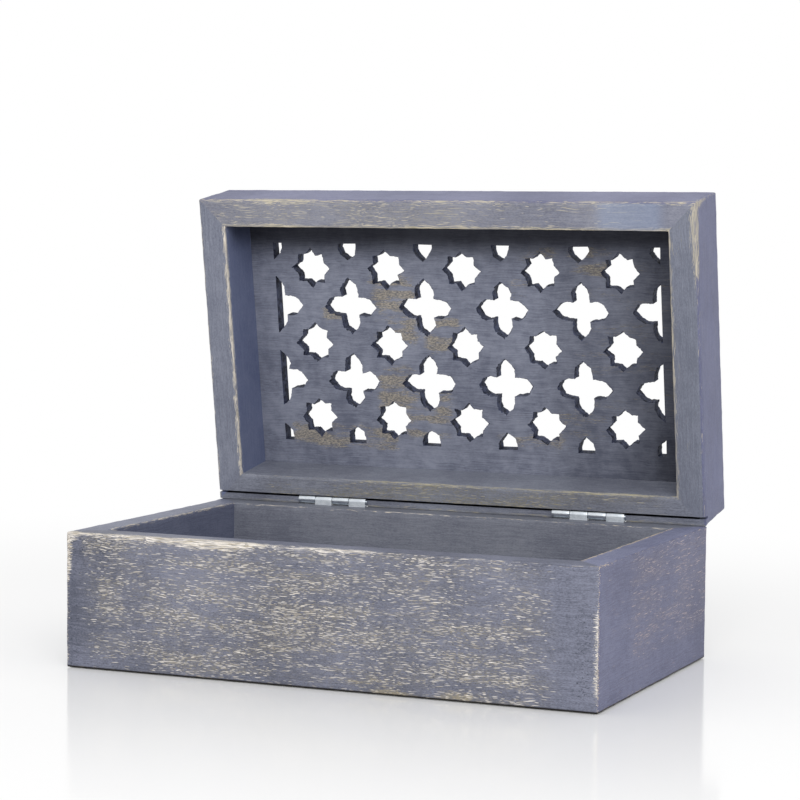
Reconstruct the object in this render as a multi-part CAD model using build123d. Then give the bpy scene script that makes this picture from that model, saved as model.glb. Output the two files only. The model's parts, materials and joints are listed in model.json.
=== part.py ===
from build123d import *
import os
from math import sqrt

# Hinged wooden keepsake box with a fretwork lid, shown open as it rests.
# Millimetres. Origin at the middle of the base's underside, X along the width,
# Y towards the hinges at the back, Z up.

# Overall sizes
box_width = 254.0
box_depth = 152.4
base_height = 62.0
lid_height = 33.0
wall_thickness = 14.0
lid_gap = 1.2
lid_open_angle = 81.0

# Softened arrises of the sanded boards
outer_edge_radius = 1.5
rim_edge_radius = 0.7

# Bottom board, let into a rebate round the foot of the walls
bottom_thickness = 6.0
bottom_rebate = 6.0
board_fit = 0.15

# Fretwork board, let into a rebate round the top of the lid
fret_thickness = 6.5
fret_rebate = 6.0

# Fretwork pattern: five by three stars with crosses between them
star_columns = 5
star_rows = 3
pattern_pitch_x = 40.3
pattern_pitch_y = 37.8
star_tip = 10.2
star_flat = 6.95
cross_tip = 14.5
cross_half_width = 4.87
cross_shoulder = 8.7
cross_bulge = 1.3
field_depth = 101.0

# Butt hinges, their leaves pushed into saw slots in the rear walls
hinge_length = 36.4
knuckle_count = 4
knuckle_gap = 0.3
barrel_radius = 2.1
barrel_rim_gap = 0.25
barrel_rear_gap = 0.35
leaf_thickness = 0.9
leaf_width = 12.0
leaf_relief = 0.3
pin_play = 0.05
pin_overhang = 0.2
left_hinge_middle_inset = 63.0
right_hinge_middle_inset = 57.6
slot_play = 0.15
slot_depth_play = 0.5
slot_end_play = 0.5

# A groove joins the lid's slots; the strip behind it is planed back and notched
lid_groove_depth = 4.0
strip_setback = 1.3
strip_edge_radius = 0.8
barrel_notch_play = 0.35
barrel_notch_end_play = 0.8

# Brads
brad_radius = 0.7
brad_head_radius = 1.1
brad_head_height = 0.6
brad_point = 1.6
brad_play = 0.05
corner_brad_length = 24.0
corner_brad_inset = 6.0
corner_brad_cover = 1.0
base_corner_brad_low = 16.0
base_corner_brad_high = 40.0
lid_corner_brad_height = 19.5
bottom_brad_length = 14.0
bottom_brad_sink = 0.2
bottom_brad_columns = 3
bottom_brad_rows = 2
hinge_brad_length = 11.5
hinge_brad_sink = 0.2
hinge_brad_spacing = 18.0
hinge_brad_depth = 6.0

# How far cutting shapes run past what they cut
overrun = 5.0

# Places worked out from the sizes above
half_width = box_width / 2
half_depth = box_depth / 2
lid_rim = base_height + lid_gap
lid_top = lid_rim + lid_height
axis_y = half_depth - barrel_radius - barrel_rear_gap
axis_z = base_height + barrel_radius + barrel_rim_gap
leaf_front_y = axis_y - barrel_radius
slot_front_y = leaf_front_y - slot_play
slot_width = leaf_thickness + slot_play + slot_play
strip_width = half_depth - slot_front_y - slot_width
base_slot_depth = leaf_width - (axis_z - base_height) + slot_depth_play
lid_slot_depth = leaf_width + (axis_z - lid_rim) + slot_depth_play
knuckle_pitch = hinge_length / knuckle_count
bore_radius = barrel_radius - leaf_thickness
pin_radius = bore_radius - pin_play
hinge_axis = Axis((0, axis_y, axis_z), (1, 0, 0))
hinge_starts = {
    "left": left_hinge_middle_inset - half_width - hinge_length / 2,
    "right": half_width - right_hinge_middle_inset - hinge_length / 2,
}
LOW = (Align.CENTER, Align.CENTER, Align.MIN)
FRONT_LOW = (Align.CENTER, Align.MIN, Align.MIN)
START = (Align.MIN, Align.MIN, Align.MIN)


def open_lid(shape):
    """Turns a piece drawn on the closed lid back to where the lid rests."""
    return shape.rotate(hinge_axis, -lid_open_angle)


def cut_away(body, tools):
    """Takes each tool out of the body, one after the other."""
    for tool in tools:
        body = body - tool
    return body


# Boards
def mitre_wedge(side, floor, top):
    """The part of the plan that belongs to one side, between 45 degree mitres."""
    reach = wall_thickness + wall_thickness
    wide = half_width + overrun
    deep = half_depth + overrun
    near_x = half_width - reach
    near_y = half_depth - reach
    outlines = {
        "front": [(-wide, -deep), (wide, -deep), (near_x, -near_y), (-near_x, -near_y)],
        "rear": [(-near_x, near_y), (near_x, near_y), (wide, deep), (-wide, deep)],
        "left": [(-wide, -deep), (-near_x, -near_y), (-near_x, near_y), (-wide, deep)],
        "right": [(near_x, -near_y), (wide, -deep), (wide, deep), (near_x, near_y)],
    }
    outline = make_face(Polyline(*outlines[side], close=True))
    return Pos(0, 0, floor) * extrude(outline, top - floor)


def rounded_block(floor, top):
    """The outside of a box or lid, with its arrises softened."""
    block = Pos(0, 0, floor) * Box(box_width, box_depth, top - floor, align=LOW)
    return fillet(block.edges(), outer_edge_radius)


def hollow(floor, top):
    return Pos(0, 0, floor) * Box(
        box_width - wall_thickness - wall_thickness,
        box_depth - wall_thickness - wall_thickness,
        top - floor,
        align=LOW,
    )


def soften_rim(ring, level):
    """Rounds the inner arris of a rim that lies at one level."""
    inner = [
        edge
        for edge in ring.edges().filter_by_position(Axis.Z, level, level)
        if abs(edge.center().X) < half_width - wall_thickness / 2
        and abs(edge.center().Y) < half_depth - wall_thickness / 2
    ]
    return fillet(inner, rim_edge_radius)


def leaf_slots(floor, top):
    """The saw cuts in a rear wall that the hinge leaves are pushed into."""
    length = hinge_length + slot_end_play + slot_end_play
    return [
        Pos(start - slot_end_play, slot_front_y, floor)
        * Box(length, slot_width, top - floor, align=START)
        for start in hinge_starts.values()
    ]


def base_ring():
    ring = rounded_block(0, base_height) - hollow(-overrun, base_height + overrun)
    ring = soften_rim(ring, base_height)
    rebate = Pos(0, 0, -overrun) * Box(
        box_width - wall_thickness - wall_thickness + bottom_rebate + bottom_rebate,
        box_depth - wall_thickness - wall_thickness + bottom_rebate + bottom_rebate,
        overrun + bottom_thickness,
        align=LOW,
    )
    slots = leaf_slots(base_height - base_slot_depth, base_height + overrun)
    return cut_away(ring, [rebate] + slots)


def barrel_notch(start):
    """Room in the lid's rear strip for one barrel, open to the back."""
    depth = axis_z + barrel_radius + barrel_notch_play - lid_rim
    length = hinge_length + barrel_notch_end_play + barrel_notch_end_play
    corner = Pos(start - barrel_notch_end_play, slot_front_y, lid_rim - overrun)
    return corner * Box(length, strip_width + slot_width + overrun, depth + overrun, align=START)


def strip_rounding():
    """Takes the square corner off the rear edge of the planed strip."""
    middle_y = half_depth - strip_edge_radius
    level = lid_rim + strip_setback
    length = box_width + overrun
    corner = Pos(0, middle_y, level - overrun) * Box(
        length, strip_edge_radius + overrun, strip_edge_radius + overrun, align=FRONT_LOW)
    keep = Pos(0, middle_y, level + strip_edge_radius) * Rot(0, 90, 0) * Cylinder(
        strip_edge_radius, length + overrun)
    return corner - keep


def lid_ring():
    ring = rounded_block(lid_rim, lid_top) - hollow(lid_rim - overrun, lid_top + overrun)
    ring = soften_rim(ring, lid_rim)
    rebate = Pos(0, 0, lid_top - fret_thickness) * Box(
        box_width - wall_thickness - wall_thickness + fret_rebate + fret_rebate,
        box_depth - wall_thickness - wall_thickness + fret_rebate + fret_rebate,
        fret_thickness + overrun,
        align=LOW,
    )
    planed = Pos(0, slot_front_y + slot_width, lid_rim - overrun) * Box(
        box_width + overrun, strip_width + overrun, strip_setback + overrun, align=FRONT_LOW)
    groove = Pos(0, slot_front_y, lid_rim - overrun) * Box(
        box_width + overrun, slot_width, lid_groove_depth + overrun, align=FRONT_LOW)
    ring = cut_away(ring, [rebate, planed, strip_rounding(), groove])
    notches = [barrel_notch(start) for start in hinge_starts.values()]
    return cut_away(ring, leaf_slots(lid_rim - overrun, lid_rim + lid_slot_depth) + notches)


# Brads
def brad(length, play=0, mouth=0):
    """A headed brad that points up from the top of its head.

    With a play it is the brad's hole, which starts as far below the head as its mouth.
    """
    shank = brad_radius + play
    head = brad_head_radius + play
    tip = length + play
    outline = Polyline(
        (0, -mouth),
        (head, -mouth),
        (head, brad_head_height + play),
        (shank, brad_head_height + play),
        (shank, tip - brad_point),
        (0, tip),
        close=True,
    )
    return revolve(Plane.XZ * make_face(outline), Axis.Z)


def driven(place, direction):
    return Plane(origin=place, z_dir=direction)


def corner_places(levels):
    """Brads driven in from the side faces, across each mitre, at the given levels."""
    face = half_width - corner_brad_cover
    inset = half_depth - corner_brad_inset
    return [
        driven((side * face, end * inset, level), (-side, 0, 0))
        for side in (-1, 1)
        for end in (-1, 1)
        for level in levels
    ]


def bottom_places():
    """Brads up through the bottom board into the shoulder of its rebate."""
    reach_x = half_width - wall_thickness + bottom_rebate / 2
    reach_y = half_depth - wall_thickness + bottom_rebate / 2
    places = []
    for column in range(bottom_brad_columns):
        x = reach_x * ((2 * column + 1) / bottom_brad_columns - 1)
        places += [driven((x, side * reach_y, bottom_brad_sink), (0, 0, 1)) for side in (-1, 1)]
    for row in range(bottom_brad_rows):
        y = reach_y * ((2 * row + 1) / bottom_brad_rows - 1)
        places += [driven((side * reach_x, y, bottom_brad_sink), (0, 0, 1)) for side in (-1, 1)]
    return places


def hinge_places(level):
    """Brads through the leaves, driven in from the rear face at one level."""
    places = []
    for start in hinge_starts.values():
        middle = start + hinge_length / 2
        for side in (-1, 1):
            x = middle + side * hinge_brad_spacing / 2
            places.append(driven((x, half_depth - hinge_brad_sink, level), (0, -1, 0)))
    return places


def brads(places, length):
    return [place * brad(length) for place in places]


def brad_holes(places, length, mouth):
    return [place * brad(length, brad_play, mouth) for place in places]


def filled_holes(places):
    """Holes whose heads are sunk and filled over, as at the corners."""
    return brad_holes(places, corner_brad_length, brad_play)


def open_holes(places, length):
    """Holes whose heads show in the face."""
    return brad_holes(places, length, overrun)


base_corner_places = corner_places((base_corner_brad_low, base_corner_brad_high))
lid_corner_places = corner_places((lid_rim + lid_corner_brad_height,))
base_leaf_places = hinge_places(base_height - hinge_brad_depth)
lid_leaf_places = hinge_places(lid_rim + hinge_brad_depth)


# Base of the box
def base_walls():
    holes = filled_holes(base_corner_places)
    holes += open_holes(bottom_places(), bottom_brad_length)
    holes += open_holes(base_leaf_places, hinge_brad_length)
    ring = cut_away(base_ring(), holes)
    return {side: ring & mitre_wedge(side, -overrun, base_height + overrun)
            for side in ("front", "rear", "left", "right")}


def bottom_board():
    """The floor of the box, flush with the foot of the walls."""
    inset = wall_thickness - bottom_rebate + board_fit
    board = Box(box_width - inset - inset, box_depth - inset - inset, bottom_thickness, align=LOW)
    return cut_away(board, open_holes(bottom_places(), bottom_brad_length))


# Lid
def lid_rails():
    holes = filled_holes(lid_corner_places)
    holes += open_holes(lid_leaf_places, hinge_brad_length)
    ring = cut_away(lid_ring(), holes)
    return {side: ring & mitre_wedge(side, lid_rim - overrun, lid_top + overrun)
            for side in ("front", "rear", "left", "right")}


def star():
    """Eight pointed star, a square laid over another turned by 45 degrees."""
    turned = star_tip * sqrt(2)
    return Rectangle(star_flat + star_flat, star_flat + star_flat) + Rectangle(turned, turned, rotation=45)


def cross_arm():
    """One arm of a cross, straight sided out to its shoulder and then arched to a point."""
    swell_x = cross_half_width / 2 + cross_bulge
    swell_y = (cross_shoulder + cross_tip) / 2
    outline = Line((-cross_half_width, 0), (cross_half_width, 0))
    outline += Line((cross_half_width, 0), (cross_half_width, cross_shoulder))
    outline += ThreePointArc((cross_half_width, cross_shoulder), (swell_x, swell_y), (0, cross_tip))
    outline += ThreePointArc((0, cross_tip), (-swell_x, swell_y), (-cross_half_width, cross_shoulder))
    outline += Line((-cross_half_width, cross_shoulder), (-cross_half_width, 0))
    return make_face(outline)


def cross():
    arm = cross_arm()
    return arm + [Rot(0, 0, turn) * arm for turn in (90, 180, 270)]


def grid(columns, rows):
    """Middles of a centred grid on the pattern's pitch."""
    return [
        Vector((column - (columns - 1) / 2) * pattern_pitch_x, (row - (rows - 1) / 2) * pattern_pitch_y)
        for column in range(columns)
        for row in range(rows)
    ]


def fret_holes():
    """The whole pattern: stars on their grid, crosses between, cut off by the field."""
    star_face = star()
    cross_face = cross()
    stars = [Pos(place.X, place.Y) * star_face for place in grid(star_columns, star_rows)]
    crosses = [Pos(place.X, place.Y) * cross_face for place in grid(star_columns + 1, star_rows + 1)]
    field = Rectangle(star_columns * pattern_pitch_x, field_depth)
    return stars + [face & field for face in crosses]


def fretwork_board():
    inset = wall_thickness - fret_rebate + board_fit
    face = Rectangle(box_width - inset - inset, box_depth - inset - inset)
    face = face - fret_holes()
    return Pos(0, 0, lid_top - fret_thickness) * extrude(face, fret_thickness)


# Hinges
def knuckle(start):
    tube = Cylinder(barrel_radius, knuckle_pitch - knuckle_gap) - Cylinder(bore_radius, knuckle_pitch)
    middle = start + knuckle_pitch / 2
    return Pos(middle, axis_y, axis_z) * Rot(0, 90, 0) * tube


def hinge_leaf(start, own_first, direction, holes):
    """A leaf with every second knuckle rolled on it; direction is 1 up into the lid, -1 down."""
    plate_width = leaf_width - barrel_radius - leaf_relief
    plate_middle = direction * (barrel_radius + leaf_relief + plate_width / 2)
    leaf = Pos(start, leaf_front_y, axis_z + plate_middle) * Box(
        hinge_length, leaf_thickness, plate_width, align=(Align.MIN, Align.MIN, Align.CENTER))
    for index in range(knuckle_count):
        if (index % 2 == 0) == own_first:
            place = start + index * knuckle_pitch
            tab = Pos(place + knuckle_gap / 2, leaf_front_y, axis_z) * Box(
                knuckle_pitch - knuckle_gap,
                leaf_thickness,
                barrel_radius + leaf_relief,
                align=(Align.MIN, Align.MIN, Align.MIN if direction > 0 else Align.MAX),
            )
            bore = Pos(place, axis_y, axis_z) * Rot(0, 90, 0) * Cylinder(
                bore_radius, knuckle_pitch, align=LOW)
            leaf = leaf + (tab - bore) + knuckle(place)
    return cut_away(leaf, holes)


def hinge_pin(start):
    length = hinge_length + pin_overhang + pin_overhang
    return Pos(start + hinge_length / 2, axis_y, axis_z) * Rot(0, 90, 0) * Cylinder(pin_radius, length)


# Build and write
def whole_object():
    nodes = {}
    for side, board in base_walls().items():
        nodes[f"base_{side}_wall"] = board
    nodes["base_bottom_board"] = bottom_board()
    nodes["base_corner_brads"] = brads(base_corner_places, corner_brad_length)
    nodes["bottom_board_brads"] = brads(bottom_places(), bottom_brad_length)
    nodes["hinge_base_brads"] = brads(base_leaf_places, hinge_brad_length)
    base_leaf_holes = open_holes(base_leaf_places, hinge_brad_length)
    lid_leaf_holes = open_holes(lid_leaf_places, hinge_brad_length)
    for name, start in hinge_starts.items():
        nodes[f"{name}_hinge_base_leaf"] = hinge_leaf(start, False, -1, base_leaf_holes)
        nodes[f"{name}_hinge_pin"] = hinge_pin(start)
        nodes[f"{name}_hinge_lid_leaf"] = open_lid(hinge_leaf(start, True, 1, lid_leaf_holes))
    for side, board in lid_rails().items():
        nodes[f"lid_{side}_rail"] = open_lid(board)
    nodes["lid_fretwork_board"] = open_lid(fretwork_board())
    nodes["lid_corner_brads"] = [open_lid(one) for one in brads(lid_corner_places, corner_brad_length)]
    nodes["hinge_lid_brads"] = [open_lid(one) for one in brads(lid_leaf_places, hinge_brad_length)]
    return nodes


os.makedirs("parts", exist_ok=True)
for node, shape in whole_object().items():
    if isinstance(shape, list):
        shape = Compound(children=[Solid(one.solids()[0].wrapped) for one in shape])
    export_step(shape, f"parts/{node}.step")
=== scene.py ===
import json
from math import atan2, cos, pi, radians, sin, sqrt
from random import Random

import bmesh
import bpy
from mathutils import Matrix, Vector


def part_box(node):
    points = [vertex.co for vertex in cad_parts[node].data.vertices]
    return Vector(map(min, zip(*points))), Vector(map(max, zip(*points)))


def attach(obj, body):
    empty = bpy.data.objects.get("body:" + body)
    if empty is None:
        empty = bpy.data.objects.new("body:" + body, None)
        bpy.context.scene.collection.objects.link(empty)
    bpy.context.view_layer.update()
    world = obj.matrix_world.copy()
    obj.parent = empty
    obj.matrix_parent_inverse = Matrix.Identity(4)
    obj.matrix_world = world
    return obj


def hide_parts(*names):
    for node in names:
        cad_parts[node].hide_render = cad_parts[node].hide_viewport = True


# The box stands open, as the photograph shows it. Metres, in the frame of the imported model:
# the base stands on the floor about the origin, X along its width, Y towards its hinges.
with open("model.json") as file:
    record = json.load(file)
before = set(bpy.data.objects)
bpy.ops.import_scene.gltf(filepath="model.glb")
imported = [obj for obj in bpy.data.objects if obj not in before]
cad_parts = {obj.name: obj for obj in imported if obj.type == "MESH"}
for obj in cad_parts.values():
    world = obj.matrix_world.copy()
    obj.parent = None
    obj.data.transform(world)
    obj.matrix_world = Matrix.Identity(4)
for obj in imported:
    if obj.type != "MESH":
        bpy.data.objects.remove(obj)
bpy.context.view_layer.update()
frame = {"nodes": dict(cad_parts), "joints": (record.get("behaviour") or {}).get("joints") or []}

# Base walls: four boards of a pale open-pored hardwood, mitred, glued and pinned into a ring,
# then rubbed down by hand until no arris is straight. The ring is shaped whole, so that the
# rubbing runs across its joints, and it is cut into its boards at the mitres at the end.
mm = 0.001
base_low = Vector((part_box("base_left_wall")[0].x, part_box("base_front_wall")[0].y, 0.0))
base_high = Vector((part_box("base_right_wall")[1].x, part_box("base_rear_wall")[1].y,
                    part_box("base_rear_wall")[1].z))
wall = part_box("base_left_wall")[1].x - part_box("base_left_wall")[0].x
rebate_width = 6 * mm
board_fit = 0.15 * mm
outer_arris = 1.1 * mm
inner_arris = 0.7 * mm
grid_pitch = 2.5 * mm
rub_depth = 0.2 * mm
rub_size = 24 * mm
dent_depth = 0.4 * mm
dent_size = 5 * mm
same_place = 0.0001 * mm
square_on = 0.98
cut_overrun = 5 * mm


def only(*pieces):
    """Leaves just these pieces selected, the first of them active."""
    bpy.ops.object.select_all(action="DESELECT")
    for piece in pieces:
        piece.select_set(True)
    bpy.context.view_layer.objects.active = pieces[0]


def pick(piece, kind, wanted):
    """In edit mode, selects just the faces or edges that are wanted."""
    bpy.ops.mesh.select_mode(type={"faces": "FACE", "edges": "EDGE"}[kind])
    bpy.ops.mesh.select_all(action="DESELECT")
    mesh = bmesh.from_edit_mesh(piece.data)
    for item in getattr(mesh, kind):
        item.select_set(wanted(item))
    mesh.select_flush_mode()
    bmesh.update_edit_mesh(piece.data)


def block(name, low, high):
    """A squared block between two corners, its place in its mesh."""
    bpy.ops.object.select_all(action="DESELECT")
    size = high - low
    bpy.ops.mesh.primitive_cube_add(size=1, location=(low + high) / 2, scale=size)
    piece = bpy.context.object
    piece.name = name
    bpy.ops.object.transform_apply(location=True, rotation=True, scale=True)
    return piece


def apply_last(piece):
    """Applies the modifier that was added to a piece last."""
    only(piece)
    bpy.ops.object.modifier_apply(modifier=piece.modifiers[-1].name)


def rub(piece, depth, size, group, spare=False):
    """Presses a surface inwards by a soft cloudy pattern, as sanding by hand leaves it.

    It acts on a group of points, or on all but that group.
    """
    clouds = bpy.data.textures.new("rubbing", "CLOUDS")
    clouds.noise_scale = size
    clouds.noise_depth = 2
    press = piece.modifiers.new("rubbing", "DISPLACE")
    press.texture = clouds
    press.texture_coords = "LOCAL"
    press.mid_level = 0.0
    press.strength = -depth
    press.vertex_group = group
    press.invert_vertex_group = spare
    apply_last(piece)


def carve(piece, *cutters):
    """Takes cutters that don't meet each other out of a piece, in one cut."""
    only(*cutters)
    if len(cutters) > 1:
        bpy.ops.object.join()
    cut = piece.modifiers.new("carving", "BOOLEAN")
    cut.operation = "DIFFERENCE"
    cut.solver = "EXACT"
    cut.object = cutters[0]
    apply_last(piece)
    bpy.data.objects.remove(cutters[0])


def near(value, level):
    return abs(value - level) < inner_arris / 2


def divide(low, high):
    """In edit mode, divides all faces between two corners into a grid for the rubbing to act on."""
    for axis in range(3):
        steps = round((high[axis] - low[axis]) / grid_pitch)
        for step in range(1, steps):
            place = low.lerp(high, step / steps)
            bpy.ops.mesh.select_all(action="SELECT")
            bpy.ops.mesh.bisect(plane_co=place, plane_no=Matrix.Identity(3)[axis], threshold=same_place)


def board_ring(name, low, high, rim_up, rebate_depth):
    """A squared ring of boards between two corners, with its rim up or down and a rebate opposite."""
    ring = block(name, low, high)
    bpy.ops.object.mode_set(mode="EDIT")
    up = 1 if rim_up else -1
    pick(ring, "faces", lambda face: face.normal.z * up > square_on)
    bpy.ops.mesh.inset(thickness=wall)
    pick(ring, "faces", lambda face: face.normal.z * up < -square_on)
    bpy.ops.mesh.inset(thickness=wall - rebate_width)
    bpy.ops.mesh.extrude_region_move(TRANSFORM_OT_translate={"value": (0, 0, up * rebate_depth)})
    bpy.ops.mesh.inset(thickness=rebate_width)
    pick(ring, "faces", lambda face: abs(face.normal.z) > square_on and all(
        abs(v.co.x) < high.x - wall / 2 and abs(v.co.y) < high.y - wall / 2 for v in face.verts)
        and face.calc_area() > wall * high.x)
    bpy.ops.mesh.bridge_edge_loops()
    bpy.ops.object.mode_set(mode="OBJECT")
    return ring


def rub_down(ring, low, high, rim_level, meets_lid):
    """Eases a ring's arrises and rubs it by hand, but not where the open lid rests on the base."""

    def outer(edge):
        at = (edge.verts[0].co + edge.verts[1].co) / 2
        on_side = near(abs(at.x), high.x), near(abs(at.y), high.y)
        on_end = near(at.z, low.z) or near(at.z, high.z)
        return all(on_side) or (any(on_side) and on_end)

    def rim_inner(edge):
        at = (edge.verts[0].co + edge.verts[1].co) / 2
        beside = near(abs(at.x), high.x - wall), near(abs(at.y), high.y - wall)
        return near(at.z, rim_level) and any(beside)

    def on_arris(face):
        return max(abs(share) for share in face.normal) < square_on and not meets_lid(face)

    only(ring)
    bpy.ops.object.mode_set(mode="EDIT")
    for wanted, width, steps in ((outer, outer_arris, 3), (rim_inner, inner_arris, 2)):
        pick(ring, "edges", wanted)
        bpy.ops.mesh.bevel(offset=width, segments=steps, affect="EDGES")
    divide(low, high)
    for name, wanted in (("arris", on_arris), ("held", meets_lid)):
        ring.vertex_groups.new(name=name)
        pick(ring, "faces", wanted)
        bpy.ops.object.vertex_group_assign()
    bpy.ops.object.mode_set(mode="OBJECT")
    rub(ring, rub_depth, rub_size, "held", spare=True)
    rub(ring, dent_depth, dent_size, "arris")


def mitred_boards(ring, low, high, names):
    """Saws a ring at its mitres into its boards, each by taking away what lies past its two ends."""
    corners = [(low.x, low.y), (high.x, low.y), (high.x, high.y), (low.x, high.y)]
    boards = {}
    for number, side in enumerate(("front", "right", "rear", "left")):
        only(ring)
        bpy.ops.object.duplicate()
        board = bpy.context.object
        board.name = names.format(side)
        bpy.ops.object.mode_set(mode="EDIT")
        for (x, y), mitre in ((corners[number], 3 * pi / 4), (corners[(number + 1) % 4], pi / 4)):
            bearing = number * pi / 2 + mitre
            bpy.ops.mesh.select_all(action="SELECT")
            bpy.ops.mesh.bisect(plane_co=(x, y, 0), plane_no=(cos(bearing), sin(bearing), 0), use_fill=True,
                                clear_outer=True, threshold=same_place)
        bpy.ops.mesh.select_all(action="SELECT")
        bpy.ops.mesh.fill_holes(sides=4)
        bpy.ops.mesh.remove_doubles(threshold=10 * same_place)
        bpy.ops.object.mode_set(mode="OBJECT")
        boards[side] = board
    bpy.data.objects.remove(ring)
    return boards


bottom_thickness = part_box("base_bottom_board")[1].z
base_ring = board_ring("base_ring", base_low, base_high, True, bottom_thickness)

# The saw slots for the hinge leaves stop short in the rear wall, so no cut shows at its ends
leaf_slot_play = 0.15 * mm
leaf_slot_end_play = 0.5 * mm
leaf_thickness = 0.9 * mm
axis_y, axis_z = frame["joints"][0]["pos_m"][1:]
leaf_front_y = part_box("left_hinge_base_leaf")[0].y
slot_front_y = leaf_front_y - leaf_slot_play
slot_rear_y = leaf_front_y + leaf_thickness + leaf_slot_play


def leaf_slots(low_z, high_z):
    """Cutters for the slots of both hinges."""
    slots = []
    for side in ("left", "right"):
        low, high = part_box(side + "_hinge_base_leaf")
        slots.append(block(side + "_slot", Vector((low.x - leaf_slot_end_play, slot_front_y, low_z)),
                           Vector((high.x + leaf_slot_end_play, slot_rear_y, high_z))))
    return slots


base_slot_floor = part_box("left_hinge_base_leaf")[0].z - leaf_slot_end_play
carve(base_ring, *leaf_slots(base_slot_floor, base_high.z + cut_overrun))

# Small holes where the heads of the hinge brads and the bottom brads lie open to the surface
brad_hole_radius = 1.15 * mm
brad_hole_depth = 0.85 * mm
brad_hole_sides = 24
hinge_brad_spacing = 18 * mm
hinge_brad_inset = 6 * mm
hinge_middles = [(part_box(side + "_hinge_base_leaf")[0].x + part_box(side + "_hinge_base_leaf")[1].x) / 2
                 for side in ("left", "right")]


def brad_hole(place, turned):
    """A round cutter that sinks as deep as a brad's head, with its middle on the surface."""
    bpy.ops.object.select_all(action="DESELECT")
    bpy.ops.mesh.primitive_cylinder_add(vertices=brad_hole_sides, radius=brad_hole_radius,
                                        depth=2 * brad_hole_depth, location=place, rotation=turned)
    hole = bpy.context.object
    bpy.ops.object.transform_apply(location=True, rotation=True, scale=True)
    return hole


def hinge_brad_holes(level):
    return [brad_hole((middle + side * hinge_brad_spacing / 2, base_high.y, level), (pi / 2, 0, 0))
            for middle in hinge_middles for side in (-1, 1)]


carve(base_ring, *hinge_brad_holes(base_high.z - hinge_brad_inset))


def under_lid(face):
    at = face.calc_center_median()
    return at.z > base_high.z - outer_arris and at.y > base_high.y - wall / 2


rub_down(base_ring, base_low, base_high, base_high.z, under_lid)
base_boards = mitred_boards(base_ring, base_low, base_high, "painted_base_{}_wall")


def linear(code):
    """An sRGB hex colour as linear light with full cover."""
    shares = [int(code[place:place + 2], 16) / 255 for place in (1, 3, 5)]
    return [share / 12.92 if share <= 0.04045 else ((share + 0.055) / 1.055) ** 2.4
            for share in shares] + [1.0]


def add(tree, kind, settings=None, links=None):
    """Adds one shader node. Settings name its properties or its inputs, and links feed its inputs.

    A link comes from an output, or from a node, which stands for its first output.
    """
    node = tree.nodes.new("ShaderNode" + kind)
    for key, value in (settings or {}).items():
        if isinstance(key, str) and key in node.bl_rna.properties:
            setattr(node, key, value)
        else:
            node.inputs[key].default_value = value
    for key, source in (links or {}).items():
        output = source.outputs[0] if hasattr(source, "outputs") else source
        tree.links.new(output, node.inputs[key])
    return node


def blank_material(name):
    """A material whose shader nodes are all still to be added."""
    material = bpy.data.materials.new(name)
    material.use_nodes = True
    material.node_tree.nodes.clear()
    return material


# Settings of the nodes that multiply two values or keep the greater of them, and the inputs and
# the output that hold colours in a colour mix node
product = {"operation": "MULTIPLY"}
greatest = {"operation": "MAXIMUM"}
first_colour, second_colour, mixed_colour = 6, 7, 2


def grained(tree, place, grain, length, width, detail, roughness=0.5):
    """Noise drawn out along the grain: its length and width are in millimetres."""
    scale = [1 / width] * 3
    scale[grain] = 1 / length
    drawn = add(tree, "VectorMath", {"operation": "MULTIPLY", 1: scale}, {0: place})
    noise = add(tree, "TexNoise", {"Scale": 1.0, "Detail": detail, "Roughness": roughness},
                {"Vector": drawn})
    return noise.outputs["Fac"]


def past_faces(tree, place, low, high):
    """How far a point lies past the faces of a box on each axis; inside it that is negative."""
    middle = [(a + b) / 2 for a, b in zip(low, high)]
    half = [(b - a) / 2 for a, b in zip(low, high)]
    off = add(tree, "VectorMath", {"operation": "SUBTRACT", 1: middle}, {0: place})
    spread = add(tree, "VectorMath", {"operation": "ABSOLUTE"}, {0: off})
    return add(tree, "VectorMath", {"operation": "SUBTRACT", 1: half}, {0: spread})


def within(tree, place, low, high, fade):
    """A mask that is 1 inside a box in millimetres and fades out round it."""
    past = past_faces(tree, place, low, high)
    beyond = add(tree, "VectorMath", {"operation": "MAXIMUM", 1: (0, 0, 0)}, {0: past})
    away = add(tree, "VectorMath", {"operation": "LENGTH"}, {0: beyond})
    return add(tree, "MapRange", {"interpolation_type": "SMOOTHSTEP", "From Min": fade, "From Max": 0.0},
               {"Value": away.outputs["Value"]})


def streaks(tree, pattern, cover, rare, common, edge):
    """Thresholds a pattern: at no cover only what passes rare shows, at full cover common."""
    level = add(tree, "Math", {"operation": "MULTIPLY_ADD", 1: rare - common, 2: -rare}, {0: cover})
    over = add(tree, "Math", {"operation": "ADD"}, {0: pattern, 1: level})
    return add(tree, "MapRange", {"interpolation_type": "SMOOTHSTEP", "From Max": edge}, {"Value": over})


# How far a dash reaches from the middle of its cell, and where its edge starts to soften
dash_reach = 0.34
dash_core = 0.7 * dash_reach


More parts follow.
